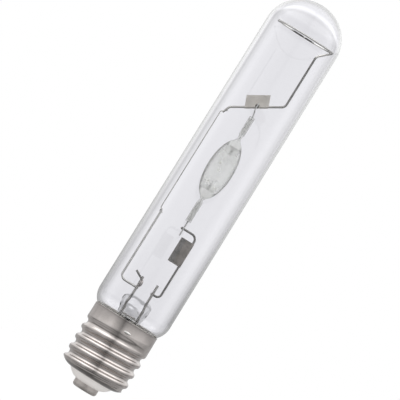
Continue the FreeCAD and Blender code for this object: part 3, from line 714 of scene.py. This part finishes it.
def make_arc_tube(segments=96):
    """Ellipsoid with flattened legs, and the hollow chamber inside it facing inwards."""
    body = ARC_Z + ARC_HALF * np.sin(np.radians(np.linspace(-74, 74, 70)))
    low = np.linspace(LEG_FOOT_Z, body[0], 70)[:-1]
    high = np.linspace(body[-1], LEG_TOP_Z, 70)[1:]
    z = np.concatenate([low, body, high])
    angle = np.arange(segments) * TURN / segments
    wide = arc_tube_size(z, LEG_HALF_WIDTH)[:, None]
    thick = arc_tube_size(z, LEG_HALF_THICKNESS)[:, None]
    outer = np.stack([wide * np.cos(angle), thick * np.sin(angle), z[:, None] + 0 * angle], axis=-1)
    outer = np.concatenate([outer[:1] * [0, 0, 1], outer, outer[-1:] * [0, 0, 1]])
    turn = np.radians(np.linspace(90, -90, 50))
    chamber = np.stack([CHAMBER_RADIUS * np.cos(turn), ARC_Z + CHAMBER_HALF * np.sin(turn)], axis=1)
    tube = grid_object("arc_tube_quartz", outer, turned(chamber, segments), sharp=60)
    dress(tube, FINISHES["quartz"], "quartz", "arc_tube")


# Glass stem

def stem_tube_rings():
    """Radii and heights of the round part: down inside the bore and under the flare, round the flare's rim,
    and up its outside and the tube's. Two quadratic curves sweep the flare out."""
    rim = NECK_END_Z
    low = rim - FLARE_RIM
    bore_top = FLARE_TOP_Z - FLARE_RIM
    inside = NECK_RADIUS - BULB_WALL
    runs = [
        straight((0, PRESS_BASE_Z), (STEM_BORE_RADIUS, PRESS_BASE_Z), 6),
        straight((STEM_BORE_RADIUS, PRESS_BASE_Z), (STEM_BORE_RADIUS, bore_top), 14),
        bezier((STEM_BORE_RADIUS, bore_top), (STEM_BORE_RADIUS, low + FLARE_SWEEP), (NECK_RADIUS, low), 24),
        straight((NECK_RADIUS, low), (NECK_RADIUS, rim), 3),
        straight((NECK_RADIUS, rim), (inside, rim), 3),
        bezier((inside, rim), (STEM_TUBE_RADIUS, rim + FLARE_SWEEP), (STEM_TUBE_RADIUS, FLARE_TOP_Z), 24),
        straight((STEM_TUBE_RADIUS, FLARE_TOP_Z), (STEM_TUBE_RADIUS, PRESS_FOOT_Z), 14)]
    return np.concatenate([runs[0]] + [run[1:] for run in runs[1:]])


def stem_rings():
    """Half widths, half thicknesses and heights of the stem's rings, from inside its bore round to its top.

    The bore and the flare are round. Above them the press narrows one way and widens the other with an
    even ease, and its crown closes in like the end of a thumb.
    """
    tube = stem_tube_rings()
    share = np.linspace(0, 1, 46)[1:]
    ease = np.clip(share / PRESS_FULL_SHARE, 0, 1)
    ease = ease * ease * (3 - 2 * ease)
    closed = np.clip((share - PRESS_FULL_SHARE) / (1 - PRESS_FULL_SHARE), 0, 1)
    crown = np.sqrt(1 - CROWN_CLOSING * closed ** CROWN_POWER)
    wide = (STEM_TUBE_RADIUS + (STEM_HALF_WIDTH - STEM_TUBE_RADIUS) * ease) * crown
    thick = (STEM_TUBE_RADIUS + (STEM_HALF_THICKNESS - STEM_TUBE_RADIUS) * ease) * crown
    z = PRESS_FOOT_Z + (STEM_TOP_Z - PRESS_FOOT_Z) * share
    wide = np.concatenate([tube[:, 0], wide, CROWN_RINGS * wide[-1]])
    thick = np.concatenate([tube[:, 0], thick, CROWN_RINGS * thick[-1]])
    return wide, thick, np.concatenate([tube[:, 1], z, np.full(len(CROWN_RINGS), STEM_TOP_Z)])


def make_stem(columns=128):
    """The stem's rings, with the uneven skin that the pinching tongs leave on the press: four sine waves
    round and along it, together as deep as a fifth of a millimetre, fading out towards the press's foot."""
    wide, thick, z = [part[:, None] for part in stem_rings()]
    angle = np.arange(columns)[None, :] * TURN / columns
    waves = sum(size * np.sin(count * angle + rise * z + phase) for count, rise, phase, size in SKIN_WAVES)
    fade = np.clip((z - PRESS_FOOT_Z) / SKIN_FADE, 0, 1)
    swell = SKIN_DEPTH * waves * fade * (wide > 1)
    x = (wide + swell) * np.cos(angle)
    y = (thick + swell) * np.sin(angle)
    stem = grid_object("pressed_stem", np.stack([x, y, z + 0 * angle], axis=-1), sharp=50)
    dress(stem, FINISHES["stem_glass"], "stem_glass", "glass_stem")


# Welds

def make_weld(name, place, size, phase):
    """Small uneven nugget: a ball drawn out to three half sizes, with two low waves over it."""
    up = np.radians(np.linspace(-90, 90, 13))[:, None]
    angle = np.arange(20)[None, :] * TURN / 20
    waves = 0.12 * np.sin(2 * angle + 3 * up + phase) + 0.08 * np.sin(3 * angle - 2 * phase)
    swell = 1 + waves * np.cos(up)
    ball = [np.cos(up) * np.cos(angle), np.cos(up) * np.sin(angle), np.sin(up) + 0 * angle]
    points = np.stack([part * swell * reach for part, reach in zip(ball, size)], axis=-1)
    nugget = grid_object(name, points + np.asarray(place))
    nugget.data.materials.append(WIRE_FINISHES.get(name, FINISHES["nickel_wire"]))
    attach(nugget, "root")


def millimetre_box(node):
    """A solid's two corners in millimetres."""
    low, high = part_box(node)
    return low / MM, high / MM


def make_welds():
    """Weld nuggets where wires cross, and the melted joint of the ring: place, half sizes and phase."""
    _, lead_high = millimetre_box("lead_in_wire_left")
    arm_low, arm_high = millimetre_box("lower_support_wire")
    left_low, _ = millimetre_box("left_support_wire")
    ring_low, ring_high = millimetre_box("dome_ring")
    foot_low, _ = millimetre_box("return_wire")
    plate_low, _ = millimetre_box("shield_plate")
    tail_low, tail_high = millimetre_box("upper_arc_lead")
    ring_z = (ring_low.z + ring_high.z) / 2
    make_weld("weld_left_joint", (lead_high.x - 0.9, 0.75, left_low.z + 0.62), (0.85, 0.5, 0.6), 0.3)
    make_weld("weld_right_joint", (4.4, 0.75, arm_low.z + 0.62), (0.9, 0.5, 0.6), 1.1)
    make_weld("weld_arm", (arm_low.x + 0.5, 1.1, arm_high.z - 0.62), (0.95, 0.8, 0.85), 2.0)
    make_weld("weld_return", (left_low.x + 0.3, 1.9, foot_low.z + 1.2), (0.7, 0.6, 1.1), 2.9)
    make_weld("weld_ring", (ring_low.x + 0.5, 0, ring_z), (0.75, 1.2, 0.72), 4.0)
    make_weld("weld_shield", (tail_low.x + 0.4, plate_low.y, tail_high.z - 2.0), (1.15, 0.42, 1.3), 5.2)


# Camera and floor

def stage_camera():
    """Camera level with the cap's rim, looking slightly up, rolled so that the lamp leans to the right."""
    camera_data = bpy.data.cameras.new("camera")
    camera_data.sensor_width = SENSOR_WIDTH
    camera_data.lens = SENSOR_WIDTH * FOCAL_WIDTHS
    camera_data.clip_start = 0.01
    camera_data.clip_end = 50.0
    camera = put_in_scene("camera", camera_data)
    tilt = math.radians(CAMERA_TILT)
    roll = math.radians(CAMERA_ROLL)
    forward = Vector((0, math.cos(tilt), math.sin(tilt)))
    right = Vector((1, 0, 0))
    up = right.cross(forward)
    rolled_right = right * math.cos(roll) + up * math.sin(roll)
    rolled_up = up * math.cos(roll) - right * math.sin(roll)
    rows = zip(rolled_right, rolled_up, -forward, Vector(CAMERA_PLACE))
    camera.matrix_world = Matrix([*[list(row) for row in rows], [0, 0, 0, 1]])
    bpy.context.scene.camera = camera


def stage_floor(size=6.0, low=-0.3):
    """White floor that the lamp's glass and metal don't show. It glows a little to the camera."""
    mesh = bpy.data.meshes.new("floor")
    corners = [(-size, -size, low), (size, -size, low), (size, size, low), (-size, size, low)]
    mesh.from_pydata(corners, [], [(0, 1, 2, 3)])
    floor = put_in_scene("floor", mesh)
    finish, tree, shader = new_material("floor_white")
    shader.inputs["Base Color"].default_value = (0.95, 0.95, 0.95, 1)
    shader.inputs["Roughness"].default_value = 0.9
    glow = add(tree, "ShaderNodeEmission", {"Color": (1, 1, 1, 1), "Strength": 0.25})
    both = add(tree, "ShaderNodeAddShader")
    tree.links.new(shader.outputs[0], both.inputs[0])
    tree.links.new(glow.outputs[0], both.inputs[1])
    mixed_surface(tree, path_value(tree, "Is Camera Ray"), shader.outputs[0], both.outputs[0])
    mesh.materials.append(finish)
    floor.visible_glossy = False
    floor.visible_transmission = False


def stage_lamp(name, place, target, size, power):
    """Soft rectangular light that glass and metal don't show."""
    light = bpy.data.lights.new(name, "AREA")
    light.shape = "RECTANGLE"
    light.size, light.size_y = size
    light.energy = power
    lamp = put_in_scene(name, light)
    lamp.location = place
    lamp.rotation_euler = (Vector(target) - Vector(place)).to_track_quat("-Z", "Y").to_euler()
    lamp.visible_glossy = False
    lamp.visible_transmission = False


# Studio. Each list holds (degrees, level) pairs. Elevation is nought at the horizon and 90 overhead. The
# way round is nought straight behind the lamp, negative to the left and 180 straight in front of it.

# Dimming of strips and flags near the horizon, by elevation
HORIZON = [(-2, 0.48), (0, 0.5), (1.8, 0.64), (5, 0.84), (10, 1.0), (15, 1.0)]

# Backdrop seen through the glass, by the way round: a pale middle, a brighter border, grey flags and white
BACKDROP = [
    (0, 0.838), (2.2, 0.84), (3.0, 0.875), (3.6, 0.915), (4.5, 0.895), (5.3, 0.87), (5.8, 0.80),
    (7.8, 0.77), (8.3, 0.67), (11.5, 0.67), (12.5, 0.98), (40, 1.0), (70, 0.88), (180, 0.88)]
# Where round the backdrop it dims near the horizon
DIMMED = [(0, 0), (11.8, 0), (12.2, 1), (45, 1), (60, 0), (180, 0)]
# Ground under the backdrop: its share and its level by elevation, and where round it is plain
GROUND_SHARE = [(-90, 1), (-7, 1), (-5, 0), (90, 0)]
GROUND = [(-90, 0.8), (-18, 0.8), (-13, 0.45), (0, 0.45)]
PLAIN_GROUND = [(0, 0), (45, 0), (60, 1), (180, 1)]
PLAIN_GROUND_LEVEL = 0.8
# Ceiling over the backdrop: its share and its level by elevation, brightest at its near edge
CEILING_SHARE = [(0, 0), (14.0, 0), (14.3, 1), (90, 1)]
CEILING = [
    (14, 0.76), (14.7, 0.80), (15.1, 0.92), (15.5, 1.1), (15.9, 1.22), (16.6, 1.15), (17.2, 1.07),
    (18, 1.05), (20, 1.13), (24, 1.08), (26, 0.95), (35, 0.9), (60, 1.0), (90, 1.0)]

# Room in front of the lamp by elevation: dark ground with a paler band, bright horizon and lights above
FRONT = [
    (-90, 0.11), (-62, 0.15), (-52, 0.28), (-40, 0.5), (-30, 0.55), (-21, 0.46), (-14, 0.24), (-9, 0.1),
    (-6, 0.12), (-3, 0.5), (0, 0.68), (3, 1.0), (8, 1.02), (14, 0.95), (20, 0.9), (26, 1.15), (34, 2.0),
    (50, 2.1), (64, 1.6), (90, 1.3)]
# Dark gap between the front lights, by the way round
FRONT_GAP = [
    (-180, 0.28), (-178, 0.2), (-175, 0.35), (-170, 0.6), (-164, 0.66), (-157, 0.7), (-151, 0.8),
    (-144, 1.0), (60, 0.6), (80, 0.7), (105, 0.86), (138, 0.88), (146, 0.83), (158, 0.83), (171, 0.76),
    (177, 0.48), (180, 0.28)]
# How far round the room behind the lamp reaches
REAR_SHARE = [(0, 1), (57, 1), (66, 0), (180, 0)]
# Room behind the lamp by elevation, and the strips on its horizon by the way round. They draw the edges
REAR = [
    (-90, 0.38), (-22, 0.4), (-18, 0.46), (0, 0.46), (15, 0.95), (25, 0.95), (33, 0.78), (60, 0.8),
    (66, 0.9), (90, 0.9)]
STRIPS = [
    (-90, 0.8), (-60, 0.8), (-54, 0.85), (-52, 1.0), (-46, 1.05), (-44, 1.1), (-38, 1.1), (-36, 0.97),
    (-26, 0.95), (-24, 0.83), (-10, 0.83), (0, 0.9), (10, 0.85), (24, 0.82), (27, 0.78), (37, 0.74),
    (39, 0.5), (46, 0.5), (48, 0.6), (54, 0.65), (57, 0.78), (90, 0.85)]
STRIPS_SHARE = [(-2, 0), (-0.1, 0), (0.1, 1), (13.5, 1), (15.5, 0), (18, 0)]

BACKDROP_TINT = (1.0, 0.997, 1.03)
# What lights dull surfaces, straight and through glass
EVEN_LIGHT = 0.8
EVEN_LIGHT_THROUGH_GLASS = 1.4


def path_value(tree, name):
    """What kind of ray looks, or how often it has bounced."""
    return add(tree, "ShaderNodeLightPath").outputs[name]


def backdrop_levels(tree, across, elevation):
    """What glass shows of the space behind the lamp: backdrop, ground and ceiling."""
    ceiling = level_ramp(tree, elevation, CEILING)
    dimming = blend(tree, level_ramp(tree, across, DIMMED), 1.0, level_ramp(tree, elevation, HORIZON))
    middle = product(tree, level_ramp(tree, across, BACKDROP), dimming)
    plain = level_ramp(tree, across, PLAIN_GROUND)
    ground = blend(tree, plain, level_ramp(tree, elevation, GROUND), PLAIN_GROUND_LEVEL)
    low = blend(tree, level_ramp(tree, elevation, GROUND_SHARE), middle, ground)
    return blend(tree, level_ramp(tree, elevation, CEILING_SHARE), low, ceiling)


def room_levels(tree, behind, across, elevation):
    """What metal and glass mirror: the room in front of the lamp, and behind it the strips that draw the
    bulb's edges. Only what is mirrored straight to the eye has the dark gap of the front."""
    direct = combine(tree, "LESS_THAN", path_value(tree, "Transmission Depth"), 0.5)
    gap = blend(tree, direct, 1.0, level_ramp(tree, behind, FRONT_GAP))
    front = product(tree, level_ramp(tree, elevation, FRONT), gap)
    strips = product(tree, level_ramp(tree, behind, STRIPS), level_ramp(tree, elevation, HORIZON))
    rear = blend(tree, level_ramp(tree, elevation, STRIPS_SHARE), level_ramp(tree, elevation, REAR), strips)
    return blend(tree, level_ramp(tree, across, REAR_SHARE), front, rear)


def stage_world():
    """White to the camera. What only passes through glass shows the backdrop, and mirrors show the room.
    Everything else is lit evenly, more strongly through glass."""
    world = bpy.data.worlds.new("studio")
    bpy.context.scene.world = world
    world.use_nodes = True
    tree = world.node_tree
    place = add(tree, "ShaderNodeTexCoord")
    split = add(tree, "ShaderNodeSeparateXYZ")
    tree.links.new(place.outputs["Generated"], split.inputs["Vector"])
    x, y, z = [split.outputs[name] for name in "XYZ"]
    elevation = combine(tree, "DEGREES", combine(tree, "ARCSINE", z))
    behind = combine(tree, "DEGREES", combine(tree, "ARCTAN2", x, y))
    across = combine(tree, "ABSOLUTE", behind)
    backdrop = product(tree, backdrop_levels(tree, across, elevation), BACKDROP_TINT)
    room = room_levels(tree, behind, across, elevation)
    glossy = path_value(tree, "Glossy Depth")
    through = path_value(tree, "Is Transmission Ray")
    even = blend(tree, through, EVEN_LIGHT, EVEN_LIGHT_THROUGH_GLASS)
    shade = blend(tree, combine(tree, "MINIMUM", glossy, 1.0), even, room)
    bounces = combine(tree, "ADD", glossy, path_value(tree, "Diffuse Depth"))
    bare = combine(tree, "LESS_THAN", bounces, 0.5)
    light = blend(tree, combine(tree, "MULTIPLY", bare, through), shade, backdrop)
    light = blend(tree, path_value(tree, "Is Camera Ray"), light, 1.0)
    tree.links.new(light, tree.nodes["Background"].inputs["Color"])


finish_nodes()
make_bulb()
make_shell()
make_arc_tube()
make_stem()
make_welds()
stage_camera()
stage_world()
stage_floor()
stage_lamp("key", place=(-0.9, -0.9, 0.9), target=(0, 0, 0.1), size=(0.5, 0.9), power=3.0)

bpy.context.scene.view_settings.view_transform = "Standard"
